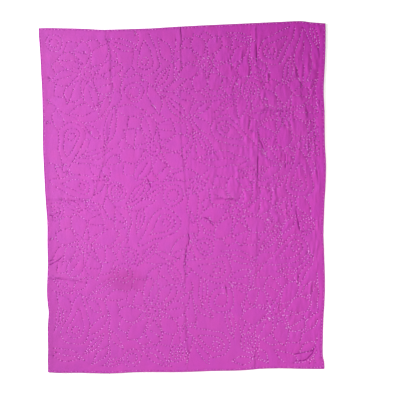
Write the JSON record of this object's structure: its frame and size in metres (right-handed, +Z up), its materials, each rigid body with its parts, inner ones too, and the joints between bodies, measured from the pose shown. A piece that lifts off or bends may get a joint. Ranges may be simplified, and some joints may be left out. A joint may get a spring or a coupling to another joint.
{
  "type": "kantha quilt",
  "caption": "Thin hand-stitched cotton quilt, nearly rectangular, lying flat, with a turned-in hem and running-stitch relief.",
  "frame": {"origin": "on the resting plane, under the middle of the outline's box", "axes": "+Y along the quilt's length, +X across it, +Z up out of the stitched face"},
  "size_m": [1.2696, 1.5568, 0.0062],
  "materials": {
    "magenta_cotton": "matt plain-weave cotton, hand washed, with off-white running stitch"
  },
  "bodies": {
    "root": {"quilt": "magenta_cotton"}
  },
  "joints": []
}
